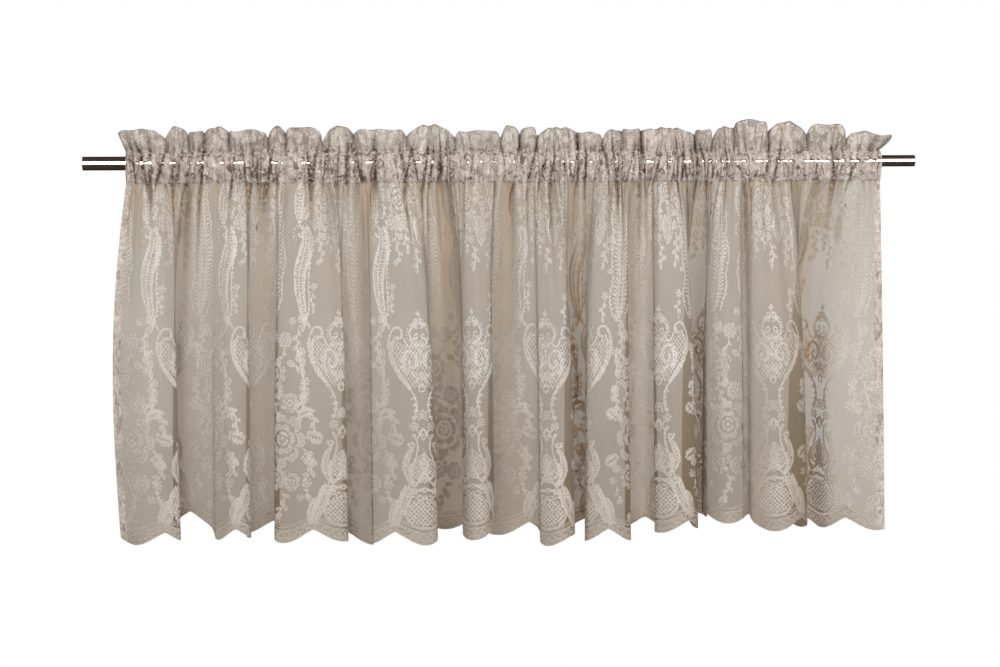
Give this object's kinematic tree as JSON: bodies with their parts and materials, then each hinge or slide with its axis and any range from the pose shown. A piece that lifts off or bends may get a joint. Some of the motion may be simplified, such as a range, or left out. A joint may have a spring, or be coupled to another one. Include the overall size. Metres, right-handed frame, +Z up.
{
  "type": "window valance on a curtain rod",
  "caption": "Gathered lace window valance with a ruffled heading, a rod pocket and a scalloped hem, hanging on a slim two-part curtain rod.",
  "frame": {"origin": "on the rod's axis at mid-length, where the wall's brackets hold the rod level", "axes": "+X along the rod, to the right seen from the front; +Z up; the cloth's face looks to -Y"},
  "size_m": [1.15, 0.0925, 0.5859],
  "materials": {
    "lace": "sheer machine lace in pale taupe, matt, openwork ground with denser flower and vase motifs",
    "rod_metal": "smooth dark bronze, semi-gloss"
  },
  "bodies": {
    "root": {"lace_cloth": "lace", "rod_outer_tube": "rod_metal", "rod_inner_tube": "rod_metal"}
  },
  "joints": []
}
